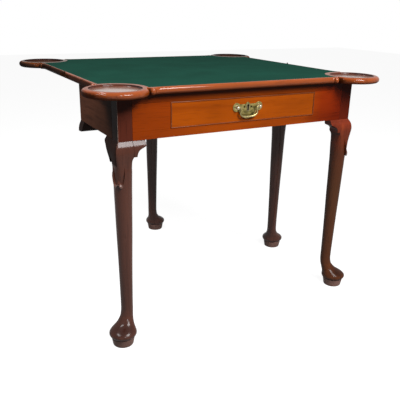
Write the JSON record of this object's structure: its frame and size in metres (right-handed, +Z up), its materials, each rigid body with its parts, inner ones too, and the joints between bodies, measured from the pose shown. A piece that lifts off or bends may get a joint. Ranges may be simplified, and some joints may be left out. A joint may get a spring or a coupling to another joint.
{
  "type": "folding games table",
  "caption": "Folding games table: a hinged cloth-lined top with round corner candle stands opens onto a swinging gate leg, over a frieze drawer and cabriole legs with pad feet.",
  "frame": {"origin": "on the floor, under the middle of the fold line of the open top", "axes": "+X to the right of someone who faces the drawer, +Y from the drawer towards the back, +Z up"},
  "size_m": [0.9438, 0.8858, 0.7277],
  "materials": {
    "top_mahogany": "polished mahogany, orange-brown, on the moulded edge and in the dishes",
    "front_mahogany": "waxed mahogany with a warm orange-brown horizontal grain",
    "dark_mahogany": "waxed mahogany, dark red-brown",
    "inner_wood": "plain unpolished oak and pine",
    "baize": "deep green wool baize, matt, with a short nap",
    "brass": "dull, lightly tarnished brass",
    "steel": "dull iron and steel"
  },
  "bodies": {
    "root": {"fixed_leaf": "top_mahogany", "fixed_leaf_baize": "baize", "left_hinge_fixed_plate": "brass", "right_hinge_fixed_plate": "brass", "front_left_leg": "dark_mahogany", "front_right_leg": "dark_mahogany", "back_right_leg": "dark_mahogany", "front_top_rail": "front_mahogany", "front_bottom_rail": "front_mahogany", "front_left_panel": "front_mahogany", "front_right_panel": "front_mahogany", "left_side_rail": "dark_mahogany", "right_side_rail": "dark_mahogany", "inner_back_rail": "inner_wood", "fixed_fly_rail": "inner_wood", "knuckle_pin": "steel", "front_left_front_bracket": "dark_mahogany", "front_right_front_bracket": "dark_mahogany", "front_right_side_bracket": "dark_mahogany", "front_left_side_bracket": "dark_mahogany", "back_right_side_bracket": "dark_mahogany", "left_rail_back_bracket": "dark_mahogany", "front_left_top_block": "inner_wood", "front_right_top_block": "inner_wood", "back_left_top_block": "inner_wood", "back_right_top_block": "inner_wood", "front_left_top_screw": "steel", "front_right_top_screw": "steel", "back_left_top_screw": "steel", "back_right_top_screw": "steel", "left_drawer_runner": "inner_wood", "right_drawer_runner": "inner_wood", "left_drawer_kicker": "inner_wood", "right_drawer_kicker": "inner_wood", "left_drawer_stop": "inner_wood", "right_drawer_stop": "inner_wood"},
    "folding_top": {"folding_leaf": "top_mahogany", "folding_leaf_baize": "baize", "left_hinge_folding_plate": "brass", "right_hinge_folding_plate": "brass"},
    "gate": {"gate_leg": "dark_mahogany", "swinging_fly_rail": "inner_wood"},
    "drawer": {"drawer_front": "front_mahogany", "drawer_left_side": "inner_wood", "drawer_right_side": "inner_wood", "drawer_bottom": "inner_wood", "drawer_back": "inner_wood", "top_cock_bead": "front_mahogany", "bottom_cock_bead": "front_mahogany", "left_cock_bead": "front_mahogany", "right_cock_bead": "front_mahogany", "lock_case": "brass", "handle_plate": "brass", "left_handle_post": "brass", "right_handle_post": "brass", "left_handle_nut": "brass", "right_handle_nut": "brass"},
    "bail": {"handle_bail": "brass"},
    "lock_bolt": {"lock_bolt": "steel"}
  },
  "joints": [
    {"name": "leaf_fold", "type": "hinge", "parent": "root", "child": "folding_top", "pos_m": [0, 0, 0.7253], "axis": [1, 0, 0], "range_deg": [0, 180]},
    {"name": "gate_swing", "type": "hinge", "parent": "root", "child": "gate", "pos_m": [0.0125, -0.0378, 0.646], "axis": [0, 0, 1], "range_deg": [0, 90]},
    {"name": "drawer_slide", "type": "slide", "parent": "root", "child": "drawer", "axis": [0, -1, 0], "range_m": [0, 0.2]},
    {"name": "bail_swing", "type": "hinge", "parent": "drawer", "child": "bail", "pos_m": [0, -0.3737, 0.654], "axis": [-1, 0, 0], "range_deg": [0, 90]},
    {"name": "bolt_slide", "type": "slide", "parent": "drawer", "child": "lock_bolt", "axis": [0, 0, 1], "range_m": [0, 0.007]}
  ]
}
